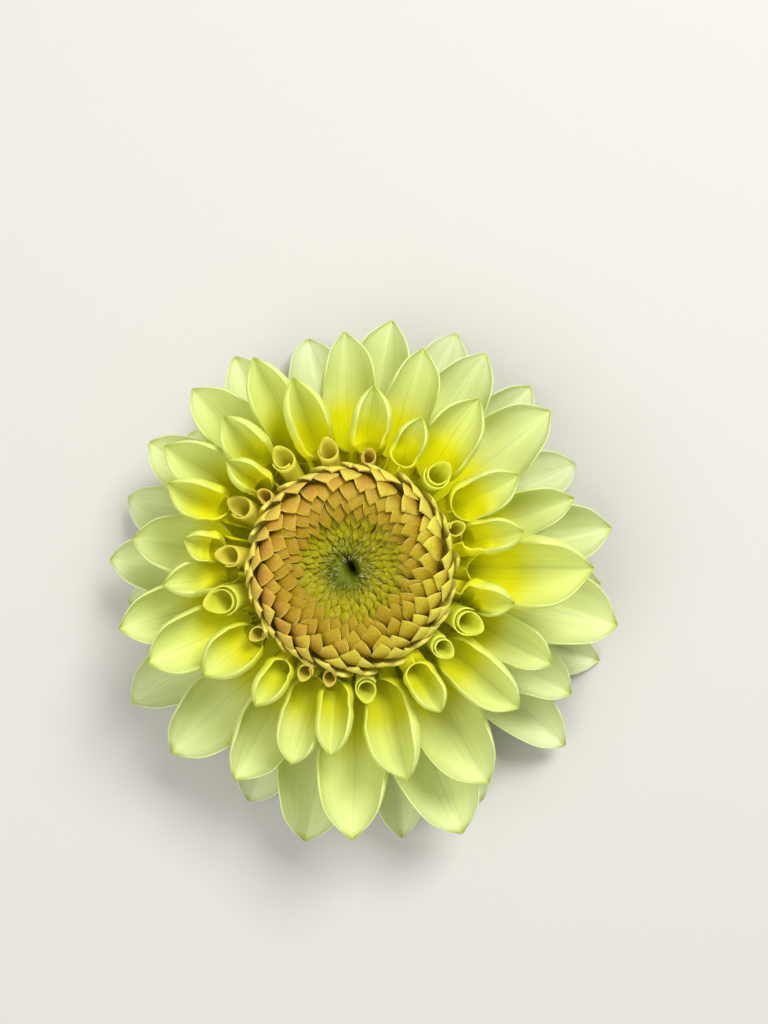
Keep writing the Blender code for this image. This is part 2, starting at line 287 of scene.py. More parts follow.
def tile_tissue(name):
    """Closed floret skin: satin, finely speckled, with a thin pale edge.

    Salmon on the left, yellow on the right and outside. Low on each tile, where it tucks under the
    whorl outside it, painted shade turns it dark brown; near the heart it is a darker olive amber,
    partly its own colour and partly painted shade.
    """
    material = bpy.data.materials.new(name)
    material.use_nodes = True
    tree = material.node_tree
    shader = tree.nodes["Principled BSDF"]
    along, edge, margin, tone, inside = (
        node(tree, "Attribute", {}, attribute_name=mark).outputs["Fac"]
        for mark in ("along", "edge", "margin", "tone", "inside")
    )
    place = node(tree, "TexCoord", {}).outputs["Object"]
    lit = node(tree, "VectorMath", {0: place, 1: (-34.0, 9.0, 0.0)}, operation="DOT_PRODUCT")
    noisy = node(tree, "MapRange", {"Value": tone, 3: -0.3, 4: 0.3})
    warm = node(tree, "Math", {0: lit.outputs["Value"], 1: noisy.outputs[0]}, operation="ADD")
    warmth = node(tree, "MapRange", {"Value": warm.outputs[0], 1: -0.38, 2: 0.58})
    middle = node(
        tree, "Mix", {0: warmth.outputs[0], 6: linear("#dccd3c"), 7: linear("#ca904a")},
        data_type="RGBA",
    )
    border = node(
        tree, "Mix", {0: warmth.outputs[0], 6: linear("#e4e04a"), 7: linear("#d4ae3a")},
        data_type="RGBA",
    )
    outwards = node(tree, "MapRange", {"Value": margin, 1: 0.25, 2: 0.9})
    face = node(
        tree, "Mix", {0: outwards.outputs[0], 6: middle.outputs[2], 7: border.outputs[2]},
        data_type="RGBA",
    )
    # Painted shade: low on each tile, where it tucks under the whorl outside it, the colour turns
    # dark brown.
    low = node(tree, "MapRange", {"Value": along, 1: 0.4, 2: 0.7, 3: 0.85, 4: 0.0})
    deep = node(
        tree, "Mix", {0: low.outputs[0], 6: face.outputs[2], 7: linear("#8c5c10")}, data_type="RGBA"
    )
    at_rim = node(tree, "MapRange", {"Value": inside, 1: 0.02, 2: 0.24, 3: 0.95, 4: 0.0})
    outer = node(
        tree, "Mix", {0: at_rim.outputs[0], 6: deep.outputs[2], 7: linear("#ece45e")},
        data_type="RGBA",
    )
    # Near the heart the tiles turn a darker olive amber, partly their own colour and partly painted
    # shade.
    near_heart = node(tree, "MapRange", {"Value": inside, 1: 0.12, 2: 0.42, 3: 0.0, 4: 0.88})
    inner = node(
        tree, "Mix", {0: near_heart.outputs[0], 6: outer.outputs[2], 7: linear("#9a7e04")},
        data_type="RGBA",
    )
    line = node(tree, "Math", {0: edge, 1: 0.6}, operation="MULTIPLY")
    lined = node(
        tree, "Mix", {0: line.outputs[0], 6: inner.outputs[2], 7: linear("#ecdc80")},
        data_type="RGBA",
    )
    grain = node(tree, "TexNoise", {"Vector": place, "Scale": 1.0 / (0.45 * MM), "Detail": 3.0})
    speckle = node(tree, "MapRange", {"Value": grain.outputs[0], 1: 0.3, 2: 0.65, 3: 0.84, 4: 1.05})
    colour = node(
        tree, "VectorMath", {0: lined.outputs[2], "Scale": speckle.outputs[0]}, operation="SCALE"
    )
    bump = node(tree, "Bump", {"Strength": 0.3, "Distance": 0.08 * MM, "Height": grain.outputs[0]})
    tree.links.new(colour.outputs[0], shader.inputs["Base Color"])
    tree.links.new(bump.outputs[0], shader.inputs["Normal"])
    shader.inputs["Roughness"].default_value = 0.48
    shader.inputs["Specular IOR Level"].default_value = 0.12
    glow = node(tree, "BsdfTranslucent", {"Color": colour.outputs[0]})
    both = node(tree, "MixShader", {0: 0.2, 1: shader.outputs[0], 2: glow.outputs[0]})
    tree.links.new(both.outputs[0], tree.nodes["Material Output"].inputs["Surface"])
    return material


closed_skin = tile_tissue("closed_floret_tissue")
for whorl, tip in enumerate(WHORL_TIPS):
    rng = np.random.default_rng(TILE_SEED + whorl)
    length = 3.6 + 0.13 * tip
    points, marks = tile_whorl(whorl, tip, length, TILE_COVER, TILE_LIFT, TILE_THICK, rng)
    name = f"closed_florets_whorl_{whorl + 1}"
    grown(name, points, "closed_floret", closed_skin, wrap=True, caps=True, sharp=35, **marks)


# Heart. The youngest buds are soft green points that sink to a small hollow, painted nearly black
# as shade, with fine pale bristles round it. Their fleshy bed is one dish that runs out under the
# closed florets.

HEART_LEAN = math.radians(25.0)
HEART_TIPS = (9.7, 8.4, 7.2, 6.1, 5.1, 4.2, 3.4)
HOLLOW_ACROSS, HOLLOW_ALONG, HOLLOW_DEPTH = 0.95, 2.2, 4.0
BUD_COVER, BUD_LIFT, BUD_THICK = 0.74, 0.25, 0.15
BUD_SEED, BRISTLE_SEED = 700, 750
BRISTLES, BRISTLE_THICK = 110, 0.075

bed_d = np.concatenate((np.linspace(0.05, 12.0, 56), np.linspace(12.6, 36.0, 40)))[:, None]
bed_turn = np.linspace(0.0, 2.0 * np.pi, 120, endpoint=False)[None, :]
bed_r, bed_z, bed_up_r, bed_up_z = crown_place(bed_d)
sunk = 0.5 + 2.1 * ease((bed_d - 6.0) / 5.0)
bed_r, bed_z = bed_r - bed_up_r * sunk, bed_z - bed_up_z * sunk
bed_x, bed_y = bed_r * np.sin(bed_turn), bed_r * np.cos(bed_turn)
slit_a = bed_x * math.cos(HEART_LEAN) + bed_y * math.sin(HEART_LEAN)
slit_b = -bed_x * math.sin(HEART_LEAN) + bed_y * math.cos(HEART_LEAN)
hollow = np.exp(-((slit_a / HOLLOW_ACROSS) ** 2) - (slit_b / HOLLOW_ALONG) ** 2)
bed = np.stack(np.broadcast_arrays(bed_x, bed_y, bed_z - HOLLOW_DEPTH * hollow), axis=-1)


def heart_tissue(name, deep, light, roughness):
    """Young bud tissue: moist and soft, green round the middle, yellower further out.

    Where the hollow mark is 1 it is painted nearly black, as painted shade in the sunk hollow.
    """
    material = bpy.data.materials.new(name)
    material.use_nodes = True
    tree = material.node_tree
    shader = tree.nodes["Principled BSDF"]
    hollow_mark = node(tree, "Attribute", {}, attribute_name="hollow").outputs["Fac"]
    place = node(tree, "TexCoord", {}).outputs["Object"]
    flat = node(tree, "VectorMath", {0: place, 1: (1000.0, 1000.0, 0.0)}, operation="MULTIPLY")
    middle = (SEAT[0] / MM - 1.6, SEAT[1] / MM - 1.2, 0.0)
    away = node(tree, "VectorMath", {0: flat.outputs[0], 1: middle}, operation="DISTANCE")
    near_left = (-0.12, -0.16, 0.0)
    side = node(tree, "VectorMath", {0: flat.outputs[0], 1: near_left}, operation="DOT_PRODUCT")
    age = node(tree, "Math", {0: away.outputs["Value"], 1: side.outputs["Value"]}, operation="ADD")
    ripe = node(tree, "MapRange", {"Value": age.outputs[0], 1: 2.5, 2: 6.5})
    grain = node(tree, "TexNoise", {"Vector": place, "Scale": 1.0 / (0.5 * MM), "Detail": 3.0})
    mottle = node(tree, "MapRange", {"Value": grain.outputs[0], 1: 0.3, 2: 0.7, 3: 0.7, 4: 1.15})
    skin = node(
        tree, "Mix", {0: ripe.outputs[0], 6: linear(deep), 7: linear(light)}, data_type="RGBA"
    )
    fresh = node(
        tree, "VectorMath", {0: skin.outputs[2], "Scale": mottle.outputs[0]}, operation="SCALE"
    )
    # Painted shade: the sunk hollow is painted nearly black.
    colour = node(
        tree, "Mix", {0: hollow_mark, 6: fresh.outputs[0], 7: linear("#040501")}, data_type="RGBA"
    )
    tree.links.new(colour.outputs[2], shader.inputs["Base Color"])
    shader.inputs["Roughness"].default_value = roughness
    shader.inputs["Specular IOR Level"].default_value = 0.12
    return material


bed_skin = heart_tissue("young_bud_bed", "#626a06", "#857c03", 0.6)
bud_skin = heart_tissue("young_bud_tissue", "#4c5a05", "#948c03", 0.5)
bed, hollow = bed[None, ::-1], hollow[None, ::-1]
piece = grown("heart_bed", bed, "closed_floret", bed_skin, wrap=True, caps=True, hollow=hollow)
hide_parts("closed_floret_crown")
solid = {"wrap": True, "caps": True, "hollow": 0.0}
for ring, tip in enumerate(HEART_TIPS):
    rng = np.random.default_rng(BUD_SEED + ring)
    points, _ = tile_whorl(ring, tip, 1.1 + 0.3 * tip, BUD_COVER, BUD_LIFT, BUD_THICK, rng)
    grown(f"heart_buds_ring_{ring + 1}", points, "closed_floret", bud_skin, sharp=35, **solid)

rng = np.random.default_rng(BRISTLE_SEED)
start = rng.uniform(2.4, 8.0, (BRISTLES, 1, 1))
point_turn = rng.uniform(0.0, 2.0 * np.pi, (BRISTLES, 1, 1))
s = np.linspace(0.0, 1.0, 4)[None, :, None]
spin = np.radians((0.0, 120.0, 240.0))[None, None, :]
thick = BRISTLE_THICK * (1.0 - 0.85 * s)
bristle_r, bristle_z, _, _ = crown_place(start - 0.9 * s)
bristle_z = bristle_z + 0.2 + rng.uniform(0.3, 1.0, (BRISTLES, 1, 1)) * s
bristle_aside = rng.uniform(-0.4, 0.4, (BRISTLES, 1, 1)) * s + thick * np.sin(-spin)
bristle_z = bristle_z + thick * np.cos(spin)
bristle_x = bristle_r * np.sin(point_turn) + bristle_aside * np.cos(point_turn)
bristle_y = bristle_r * np.cos(point_turn) - bristle_aside * np.sin(point_turn)
bristles = np.stack(np.broadcast_arrays(bristle_x, bristle_y, bristle_z), axis=-1)
bristle_skin = heart_tissue("pale_bristle", "#d4daa0", "#e0dc84", 0.35)
grown("heart_bristles", bristles, "closed_floret", bristle_skin, **solid)


# Ray florets, the youngest. Thin, soft, translucent petals, still rolled up like scrolls right
# against the crown, with a coil or a small hole at the end. From here the florets follow from the
# crown outwards, and each lies pressed under those before it.

CLAW_TUBE = 1.1
PETAL_WALL = 0.25
ROLL_TOP, ROLL_FALL = 44.5, 0.27
ROLL_SEED = 400
LOWEST_HEIGHT = 0.9
YOUNG_FLORETS = (
    # (bearing, radius of the mouth's middle, its half width, turns of the roll, pitch it faces,
    # how tan its lip is)
    (43, 25.2, 2.7, 1.5, 74, 0.0), (115, 25.4, 2.9, 1.75, 74, 0.0),
    (131, 24.0, 2.2, 1.9, 76, 0.0), (173, 24.2, 2.3, 1.45, 78, 0.1),
    (256, 26.4, 3.2, 1.6, 72, 0.1), (276, 24.5, 2.2, 1.15, 68, 0.5),
    (299, 25.3, 2.3, 1.15, 68, 0.5), (328, 25.6, 2.4, 1.35, 70, 0.3),
    (349, 24.0, 2.1, 1.1, 66, 0.5), (9, 22.5, 1.4, 1.15, 80, 0.9),
    (69, 22.3, 1.6, 1.15, 80, 0.3), (191, 22.2, 1.4, 1.15, 80, 0.8),
    (204, 22.6, 1.5, 1.2, 80, 0.6), (235, 22.8, 1.5, 1.2, 80, 0.6),
    (310, 22.4, 1.4, 1.1, 80, 0.9),
)
ROOF_CELL = 0.5
ROOF_SIDE = 280
OPEN_SKY = 99.0
roof = np.full((ROOF_SIDE, ROOF_SIDE), OPEN_SKY)


def with_neighbours(values):
    """Every value with its eight neighbours, stacked on a new first axis."""
    wide = np.pad(values, 1, mode="edge")
    rows, columns = values.shape
    return np.stack([wide[i : i + rows, j : j + columns] for i in range(3) for j in range(3)])


def pressed(points, clearance=0.6):
    """Lowers a floret beneath those grown before it, then adds its own underside to the roof.

    The roof is the lowest height above each half millimetre of ground. The drop that a point
    needs is spread to its neighbours and averaged, so the floret sags smoothly. Halving the
    steps of its grid twice leaves no cell under the floret unfilled.
    """
    def cells(p):
        place = np.clip(p[..., :2] / ROOF_CELL + ROOF_SIDE / 2, 0, ROOF_SIDE - 1).astype(int)
        return place[..., 0], place[..., 1]

    drop = np.maximum(points[..., 2] + clearance - roof[cells(points)], 0.0)
    for _ in range(2):
        drop = with_neighbours(drop).max(axis=0)
    for _ in range(2):
        drop = with_neighbours(drop).mean(axis=0)
    height = np.maximum(points[..., 2] - drop, np.minimum(points[..., 2], LOWEST_HEIGHT))
    points = np.concatenate((points[..., :2], height[..., None]), axis=-1)
    fine = points
    for axis in (0, 1, 0, 1):
        fine = np.moveaxis(fine, axis, 0)
        halved = np.empty((2 * len(fine) - 1, *fine.shape[1:]))
        halved[::2], halved[1::2] = fine, 0.5 * (fine[1:] + fine[:-1])
        fine = np.moveaxis(halved, 0, axis)
    layer = np.full_like(roof, OPEN_SKY)
    np.minimum.at(layer, cells(fine), fine[..., 2])
    np.minimum(roof, with_neighbours(layer).min(axis=0), out=roof)
    return points


BOW = 0.42


def shoulder(pitch, clearance=0.3):
    """Radius and height where a floret sits on the dome, on the side that faces pitch.

    The dome's shoulder is a quarter of an ellipse, 6.5 wide and 8.5 high.
    """
    angle = math.radians(pitch)
    return 6.5 + (6.5 + clearance) * math.cos(angle), 10.5 + (8.5 + clearance) * math.sin(angle)


def midrib(start, launch, tip, arrive, u):
    """A Bezier curve in (radius, height) that leaves start at one pitch and meets tip at another.

    Returns its points at u and the unit direction across it that faces up and inwards.
    """
    start, tip = np.array(start), np.array(tip)
    handle = BOW * np.linalg.norm(tip - start)
    launch, arrive = math.radians(launch), math.radians(arrive)
    second = start + handle * np.array((math.cos(launch), math.sin(launch)))
    third = tip - handle * np.array((math.cos(arrive), math.sin(arrive)))
    back = 1.0 - u
    point = back**3 * start + 3 * back**2 * u * second + 3 * back * u**2 * third + u**3 * tip
    slope = back**2 * (second - start) + 2 * back * u * (third - second) + u**2 * (tip - third)
    slope /= np.linalg.norm(slope, axis=1, keepdims=True)
    return point, np.stack((-slope[:, 1], slope[:, 0]), axis=1)


def rolled_floret(bearing, centre, half_width, turns, pitch, tan, rng):
    """A floret still rolled up, as a grid of points, with the marks that its tissue reads.

    p runs up the roll and w round it. The section is a spiral: its radius shrinks evenly with w
    and its turns touch on the outward side. The rim runs on furthest where it faces outwards.
    """
    p = np.linspace(0.0, 1.0, 16)[:, None]
    w = np.linspace(0.0, 1.0, int(20 * turns))[None, :]
    end = (centre, ROLL_TOP - ROLL_FALL * centre + rng.uniform(-0.5, 0.5))
    rib, inward = midrib(shoulder(72.0), 74.0, end, pitch, p)
    across, up = inward[:, :1], inward[:, 1:]
    swell = CLAW_TUBE + (half_width - CLAW_TUBE) * p**1.6
    coil = swell * (1.0 - 0.2 * turns * w)
    facing = 0.5 * np.pi + rng.uniform(-0.5, 0.5) + 2.0 * np.pi * turns * w
    outward = (swell - coil) + coil * np.cos(facing)
    aside = 0.95 * coil * np.sin(facing)
    lip = half_width * (0.9 * np.clip(np.cos(facing), 0.0, 1.0) ** 3 - 0.25 * w) * p**3
    r = rib[:, :1] - across * outward + up * lip
    z = rib[:, 1:] - up * outward - across * lip
    turn = np.radians(bearing)
    x = r * np.sin(turn) - aside * np.cos(turn)
    y = r * np.cos(turn) + aside * np.sin(turn)
    marks = {
        "along": 0.8 * p,
        "across": 0.1 + 0.84 * w,
        "throat": 1.0 - 0.75 * ease((p - 0.72) / 0.28),
        "distance": 0.5 * p,
        "youth": 1.0 + tan,
        "tone": rng.uniform(0.0, 1.0),
    }
    return np.stack((x, y, z), axis=-1), marks


def petal_tissue(name):
    """Living petal: thin, satin, translucent. Pale at the blade, saturated yellow in the throat.

    Fine veins run lengthwise, about forty across a petal, so 0.4 mm apart on a wide one. A
    thin paler line at the margin is a painted highlight, and a faint darker line along the midrib
    is painted shade in its crease.
    The throats towards -Y are painted a duller olive yellow as painted shade, and the newest rolls
    have tan lips.
    """
    material = bpy.data.materials.new(name)
    material.use_nodes = True
    tree = material.node_tree
    shader = tree.nodes["Principled BSDF"]
    along, across, throat, distance, youth, tone = (
        node(tree, "Attribute", {}, attribute_name=mark).outputs["Fac"]
        for mark in ("along", "across", "throat", "distance", "youth", "tone")
    )
    middle = node(
        tree, "Mix", {0: youth, 6: linear("#e6ed98"), 7: linear("#e7ec4a")}, data_type="RGBA"
    )
    outer = node(
        tree, "Mix", {0: youth, 6: linear("#edf4cc"), 7: linear("#eaf28c")}, data_type="RGBA"
    )
    reach = node(tree, "MapRange", {"Value": distance, 1: 0.3, 2: 0.95})
    blade = node(
        tree, "Mix", {0: reach.outputs[0], 6: middle.outputs[2], 7: outer.outputs[2]},
        data_type="RGBA",
    )
    place = node(tree, "TexCoord", {}).outputs["Object"]
    # Painted shade: throats towards -Y are duller olive, and those towards +Y are a brighter
    # yellow.
    lit = node(tree, "VectorMath", {0: place, 1: (6.0, 32.0, 0.0)}, operation="DOT_PRODUCT")
    sunny = node(tree, "MapRange", {"Value": lit.outputs["Value"], 1: -0.7, 2: 0.2})
    deep = node(
        tree, "Mix", {0: sunny.outputs[0], 6: linear("#d6d61a"), 7: linear("#ebe907")},
        data_type="RGBA",
    )
    tissue = node(
        tree, "Mix", {0: throat, 6: blade.outputs[2], 7: deep.outputs[2]}, data_type="RGBA"
    )
    newest = node(tree, "MapRange", {"Value": youth, 1: 1.0, 2: 2.0})
    lips = node(tree, "MapRange", {"Value": along, 1: 0.5, 2: 0.78, 3: 0.0, 4: 0.75})
    tan = node(tree, "Math", {0: newest.outputs[0], 1: lips.outputs[0]}, operation="MULTIPLY")
    flushed = node(
        tree, "Mix", {0: tan.outputs[0], 6: tissue.outputs[2], 7: linear("#dcb052")},
        data_type="RGBA",
    )
    strip = node(tree, "CombineXYZ", {"X": across, "Y": along, "Z": tone})
    spread = node(
        tree, "VectorMath", {0: strip.outputs[0], 1: (20.0, 1.6, 9.0)}, operation="MULTIPLY"
    )
    veins = node(tree, "TexNoise", {"Vector": spread.outputs[0], "Scale": 1.0, "Detail": 5.0})
    dark = node(tree, "MapRange", {"Value": veins.outputs[0], 1: 0.3, 2: 0.7, 3: 0.94, 4: 1.02})
    side = node(tree, "Math", {0: across}, operation="ABSOLUTE")
    # Painted shade: a faint darker line along the midrib, in its crease.
    crease_shade = node(tree, "MapRange", {"Value": side.outputs[0], 1: 0.0, 2: 0.045, 3: 0.9, 4: 1.0})
    shade = node(tree, "Math", {0: dark.outputs[0], 1: crease_shade.outputs[0]}, operation="MULTIPLY")
    veined = node(
        tree, "VectorMath", {0: flushed.outputs[2], "Scale": shade.outputs[0]}, operation="SCALE"
    )
    # Painted highlight: a thin paler line along the margin, stronger on the upper rows and young
    # rolls.
    paler = node(tree, "Math", {0: youth, 1: 0.15}, operation="MULTIPLY")
    rim = node(
        tree, "MapRange", {"Value": side.outputs[0], 1: 0.965, 2: 1.0, 3: 0.0, 4: paler.outputs[0]}
    )
    rim_highlighted = node(
        tree, "Mix", {0: rim.outputs[0], 6: veined.outputs[0], 7: linear("#edf2a8")},
        data_type="RGBA",
    )
    point = node(tree, "MapRange", {"Value": along, 1: 0.965, 2: 1.0, 3: 0.0, 4: 0.7})
    colour = node(
        tree, "Mix", {0: point.outputs[0], 6: rim_highlighted.outputs[2], 7: linear("#cfd84a")},
        data_type="RGBA",
    )
    bump = node(tree, "Bump", {"Strength": 0.3, "Distance": 0.1 * MM, "Height": veins.outputs[0]})
    tree.links.new(colour.outputs[2], shader.inputs["Base Color"])
    tree.links.new(bump.outputs[0], shader.inputs["Normal"])
    shader.inputs["Roughness"].default_value = 0.5
    shader.inputs["Specular IOR Level"].default_value = 0.14
    glow = node(tree, "BsdfTranslucent", {"Color": colour.outputs[2], "Normal": bump.outputs[0]})
    thin = node(tree, "MapRange", {"Value": throat, 3: 0.42, 4: 0.26})
    both = node(tree, "MixShader", {0: thin.outputs[0], 1: shader.outputs[0], 2: glow.outputs[0]})
    tree.links.new(both.outputs[0], tree.nodes["Material Output"].inputs["Surface"])
    return material


petal_skin = petal_tissue("petal_tissue")
for place, sizes in enumerate(YOUNG_FLORETS):
    points, marks = rolled_floret(*sizes, np.random.default_rng(ROLL_SEED + place))
    name = f"young_floret_{place + 1:02d}"
    grown(name, pressed(points)[None], "petal", petal_skin, wall=PETAL_WALL, **marks)


# Ray florets, inner row. Narrow upright tubes that stand close round the crown, each opening in a
# small pointed mouth. Six shorter ones stand between them.

ROW_LAUNCH = (-6.0, 10.0, 26.0, 44.0, 60.0, 68.0)
ROW_TIP_Z = (1.7, 14.0, 26.0, 34.0, 38.5, 40.5)
ROW_ARRIVE = (-4.0, 12.0, 20.0, 26.0, 34.0, 44.0)
ROW_MOUTH = (18.0, 20.5, 23.8, 23.6, 23.0, 22.6)
ROW_ROLL = (110.0, 130.0, 172.0, 182.0, 183.0, 183.0)
ROW_TUBE = (2.0, 2.3, 3.0, 3.3, 2.7, 2.2)
ROW_CUP = (74.0, 96.0, 116.0, 126.0, 132.0, 140.0)
ROW_TIP_CUP = (20.0, 30.0, 48.0, 74.0, 96.0, 108.0)
ROW_WIDEST = (0.55, 0.56, 0.54, 0.5, 0.46, 0.42)
ROW_CURL = (1.6, 1.4, 1.0, 0.7, 0.5, 0.3)
ROW_FOLD = (34.0, 33.0, 27.0, 18.0, 12.0, 8.0)
ALTERNATE_LIFT = 0.38
FURROW_DEPTH, RUFFLE = 0.12, 0.2
ALONG_CLAW, ALONG_BLADE, ACROSS = 10, 36, 33
MIDDLE = ACROSS // 2
BETWEEN_LEVEL, INNER_LEVEL = 4.4, 4


def ray_floret(row, bearing, reach, width, rng, mouth=None):
    """One floret as a grid of points, with the marks that its tissue reads.

    u runs along the midrib and v across, from -1 to 1. The section at u is a curve whose slope
    turns from flat at the midrib to the roll angle at the margins, so the point is the midrib
    plus the running sums of cosine and sine of that slope times the unrolled half width. The
    margins meet along the claw, and past the mouth they part as a quarter ellipse does. Shallow
    furrows run along the blade, and its margins ruffle by a slow sine.
    """
    def habit(values):
        return float(np.interp(row, range(6), values))

    launch, tube = habit(ROW_LAUNCH), habit(ROW_TUBE)
    arrive = habit(ROW_ARRIVE) + rng.uniform(-5.0, 5.0)
    course = (shoulder(launch), launch, (reach, habit(ROW_TIP_Z)), arrive)
    even = np.linspace(0.0, 1.0, 80)[:, None]
    rib, inward = midrib(*course, even)
    mouth = mouth or habit(ROW_MOUTH)
    opening = float(np.interp(mouth, rib[:, 0] + 2.0 * tube * inward[:, 0], even[:, 0]))
    claw_u = opening * np.linspace(0.0, 1.0, ALONG_CLAW, endpoint=False)
    blade_u = opening + (1.0 - opening) * np.linspace(0.0, 1.0, ALONG_BLADE) ** 1.45
    u = np.concatenate((claw_u, blade_u))[:, None]
    v = np.linspace(-1.0, 1.0, ACROSS)[None, :]
    rib, inward = midrib(*course, u)

    widest = opening + (1.0 - opening) * habit(ROW_WIDEST)
    spread = np.clip((u - opening) / (widest - opening), 0.0, 1.0)
    taper = np.clip((u - widest) / (1.0 - widest), 0.0, 1.0)
    parted = (1.0 - (1.0 - np.clip(spread / 0.95, 0.0, 1.0)) ** 2) ** 0.56
    loose = rng.uniform(-8.0, 8.0)
    roll, cup = np.radians(habit(ROW_ROLL)), np.radians(habit(ROW_CUP) + loose)
    tip_cup = np.radians(habit(ROW_TIP_CUP) + loose)
    angle = roll - (roll - cup) * parted + (tip_cup - cup) * ease(taper)

    curl = habit(ROW_CURL)
    fine = np.linspace(0.0, 1.0, 60)
    flat = np.cumsum(np.cos(cup * (fine + curl * fine**3) / (1.0 + curl))) / 60.0
    blade = 0.5 * width / flat.max()
    claw = roll * (CLAW_TUBE + (tube - CLAW_TUBE) * np.clip(u / opening, 0.0, 1.0))
    half = claw + (blade - roll * tube) * np.sin(0.5 * np.pi * spread)
    half = half * (1.0 - taper**4.6) + 0.1 * taper

    curl = curl * spread
    bend = (np.abs(v) + curl * np.abs(v) ** 3) / (1.0 + curl)
    lop = 1.0 + rng.uniform(-0.09, 0.09) * parted * np.sign(v)
    fold = np.radians(7.0 + habit(ROW_FOLD) * ease(taper * 1.3)) * ease(2.0 * spread - 0.6)
    slope = np.sign(v) * (angle * bend * lop + fold * (1.0 - np.exp(-np.abs(v) / 0.05)))
    step = 2.0 / (ACROSS - 1)
    aside, rise = (
        np.cumsum(0.5 * (part[:, 1:] + part[:, :-1]) * step, axis=1)
        for part in (np.cos(slope), np.sin(slope))
    )
    aside, rise = (
        (np.concatenate((np.zeros_like(u), run), axis=1) - run[:, MIDDLE - 1 : MIDDLE]) * half
        for run in (aside, rise)
    )
    phase = rng.uniform(0.0, 6.28, 3)
    furrows = np.cos(3.0 * np.pi * v + 0.6 * np.sin(phase[1]))
    rise = rise - FURROW_DEPTH * furrows * spread * (1.0 - taper**4)
    ruffle = RUFFLE * np.abs(v) ** 5 * np.sin(7.0 * u + phase[0] + v)
    rise = rise + ruffle * spread * (1.0 - taper)
    lean = np.radians(rng.uniform(-11.0, 11.0)) * ease(u / widest)
    aside, rise = (
        aside * np.cos(lean) - rise * np.sin(lean),
        aside * np.sin(lean) + rise * np.cos(lean),
    )

    sway = rng.uniform(-1.2, 1.2) * np.sin(np.pi * spread) * (1.0 - taper)
    turn = np.radians(bearing + rng.uniform(-4.0, 4.0) * (1.0 - u) ** 1.5 + sway)
    radius = rib[:, :1] + inward[:, :1] * rise
    x = radius * np.sin(turn) - aside * np.cos(turn)
    y = radius * np.cos(turn) + aside * np.sin(turn)
    z = rib[:, 1:] + inward[:, 1:] * rise
    border = opening + (0.38 + 0.035 * row - 0.2 * v**2) * (1.0 - opening)
    marks = {
        "along": u,
        "across": v,
        "throat": 1.0 - ease((u - border + 0.1) / 0.2),
        "distance": np.clip((u - opening) / (1.0 - opening), 0.0, 1.0),
        "youth": row / 5.0,
        "tone": rng.uniform(0.0, 1.0),
    }
    return np.stack((x, y, z), axis=-1), marks


def grow_row(row_name, row, members, material, replaced=True):
    """Grows one row from (bearing, reach, width, mouth) of each floret, the higher ones first.

    Every second floret lies higher. The mouth's radius may be left to the row.
    """

    def level(place):
        return row + ALTERNATE_LIFT * ((place + int(row)) % 2)

    for place in sorted(range(len(members)), key=level, reverse=True):
        bearing, reach, width, *mouth = members[place]
        rng = np.random.default_rng(int(1000 * row) + place)
        points, marks = ray_floret(level(place), bearing, reach, width, rng, *mouth)
        name = f"{row_name}_floret_{place + 1:02d}"
        piece = grown(name, pressed(points)[None], "petal", material, wall=PETAL_WALL, **marks)
        if replaced:
            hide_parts(f"{row_name}_petal_{place + 1:02d}")


BETWEEN_FLORETS = (
    (25, 33, 6.6), (102, 33, 7.5), (148, 33.5, 7), (215, 33, 7), (280, 33.5, 6.3, 26.0),
    (311, 32.5, 6.6),
)
INNER_FLORETS = (
    (7, 36.5, 8.6), (78, 35, 7.5), (186, 37.5, 8), (234, 36, 10.5), (265, 37.5, 8.2),
    (295, 40, 8.8, 27.5), (320, 39.5, 9.6, 24.5), (343, 39.5, 9.4),
)
grow_row("between", BETWEEN_LEVEL, BETWEEN_FLORETS, petal_skin, replaced=False)
grow_row("inner", INNER_LEVEL, INNER_FLORETS, petal_skin)


# Ray florets, middle and upper rows. Spoon shaped: the lower half is a closed tube that rises
# along the crown, and it opens upwards in a round mouth, its thin rim painted paler as a highlight.

MIDDLE_LEVEL, UPPER_LEVEL = 2, 3
MIDDLE_FLORETS = (
    (358, 48.5, 12.5), (18, 47, 11.7), (73, 48, 11), (116, 45.5, 11), (148, 53, 16), (180, 56, 16),
    (209, 50.5, 14), (255, 49.5, 13.7), (277, 46, 14), (318, 49, 13),
)
UPPER_FLORETS = (
    (37, 42.5, 12.2), (61, 38.5, 9.5), (90, 48.5, 16.2), (130, 44, 11), (165, 44, 12.3),
    (197, 41.5, 10), (245, 45, 13.3), (303, 45, 12), (335, 46.5, 11),
)
grow_row("upper", UPPER_LEVEL, UPPER_FLORETS, petal_skin)
grow_row("middle", MIDDLE_LEVEL, MIDDLE_FLORETS, petal_skin)


# Ray florets, lowest and lower rows. Each is one long petal: a rolled claw on the receptacle, a
# yellow throat, and a pale, soft, cupped blade folded at its midrib, that ends in a small point.
# The walls are thin and let light through. The lowest row rests its tips on the ground.

LOWEST_LEVEL, HIDDEN_LEVEL, LOWER_LEVEL = 0, 0.5, 1
LOWEST_FLORETS = (
    (24, 56, 15), (45, 55, 15), (66, 54, 15), (95, 54.5, 13), (112, 59, 15), (131, 61.5, 15),
    (152, 60.5, 15), (170, 61.5, 15), (204, 58.5, 16), (238, 58, 16), (260, 51.5, 14),
    (286, 52, 15), (348, 51, 15),
)
LOWER_FLORETS = (
    (9, 52.5, 15), (32, 53.5, 15), (52, 53, 16), (82, 56, 16), (103, 57.5, 18), (121, 54.5, 14),
    (158, 61.5, 19), (190, 60.5, 18.4), (224, 55.5, 17), (271, 52.5, 14.5), (301, 50.5, 14.5),
    (330, 51.5, 14),
)
HIDDEN_FLORETS = (
    (5, 47, 14), (78, 48, 14), (186, 52, 15), (221, 50, 15), (308, 46, 14), (328, 46, 14),
)
grow_row("lower", LOWER_LEVEL, LOWER_FLORETS, petal_skin)
